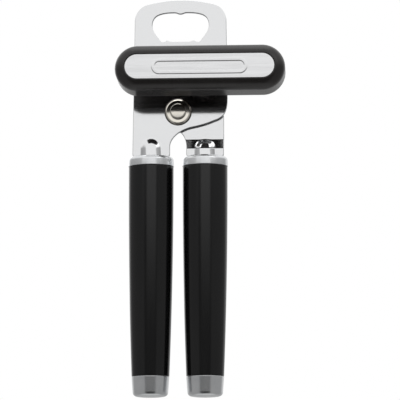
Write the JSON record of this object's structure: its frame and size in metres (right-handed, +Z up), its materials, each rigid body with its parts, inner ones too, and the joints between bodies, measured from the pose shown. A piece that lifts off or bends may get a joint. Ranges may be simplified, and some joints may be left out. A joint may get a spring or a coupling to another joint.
{
  "type": "manual can opener",
  "caption": "Hand-held can opener with two oval handles on steel arms, a long turning knob, geared feed and cutting wheels and a bottle-opener head.",
  "frame": {"origin": "hang point: middle of the upper edge of the bottle-opener window, halfway through the front sheet", "axes": "+X to the right seen from the knob side, +Y away from the user towards the wheels, +Z up towards the crown of the head"},
  "size_m": [0.0884, 0.0504, 0.212],
  "materials": {
    "polished_steel": "mirror-polished stainless sheet, fine polishing lines",
    "brushed_inlay": "brushed stainless, satin",
    "satin_metal": "satin metal-plated ferrules and caps",
    "nickel": "bright nickel plate",
    "wheel_steel": "hardened steel, ground and lightly oiled",
    "grip_plastic": "moulded black, semi-gloss",
    "knob_plastic": "moulded black, satin to semi-gloss",
    "bronze": "sintered bearing bronze"
  },
  "bodies": {
    "front_arm": {"front_plate": "polished_steel", "pivot_front_washer": "nickel", "pivot_spacer": "bronze", "pivot_rear_washer": "nickel", "pivot_rivet": "nickel", "drive_bush": "bronze", "left_collar": "satin_metal", "left_grip": "grip_plastic", "left_end_cap": "satin_metal"},
    "rear_arm": {"rear_plate": "polished_steel", "right_collar": "satin_metal", "right_grip": "grip_plastic", "right_end_cap": "satin_metal", "cutter_stud": "wheel_steel", "cutter_washer": "nickel", "cutter_screw": "nickel"},
    "drive": {"drive_shaft": "wheel_steel", "drive_spacer": "wheel_steel", "hub_washer": "nickel", "knob_core": "knob_plastic", "knob_shell": "knob_plastic", "knob_inlay": "brushed_inlay", "knob_key": "wheel_steel", "knob_screw": "wheel_steel", "drive_gear": "wheel_steel", "feed_wheel": "wheel_steel", "feed_wheel_nut": "nickel"},
    "cutter": {"cutter_gear": "wheel_steel", "cutting_wheel": "wheel_steel"}
  },
  "joints": [
    {"name": "handle_hinge", "type": "hinge", "parent": "front_arm", "child": "rear_arm", "pos_m": [-0.0012, 0, -0.0542], "axis": [0, -1, 0], "range_deg": [0, 32]},
    {"name": "knob_spin", "type": "hinge", "parent": "front_arm", "child": "drive", "pos_m": [0.0118, 0, -0.037], "axis": [0, -1, 0], "continuous": true},
    {"name": "cutter_spin", "type": "hinge", "parent": "rear_arm", "child": "cutter", "pos_m": [-0.0072, 0, -0.037], "axis": [0, -1, 0], "continuous": true}
  ],
  "couplings": [
    {"joint": "cutter_spin", "follows": "knob_spin", "ratio": -1}
  ]
}
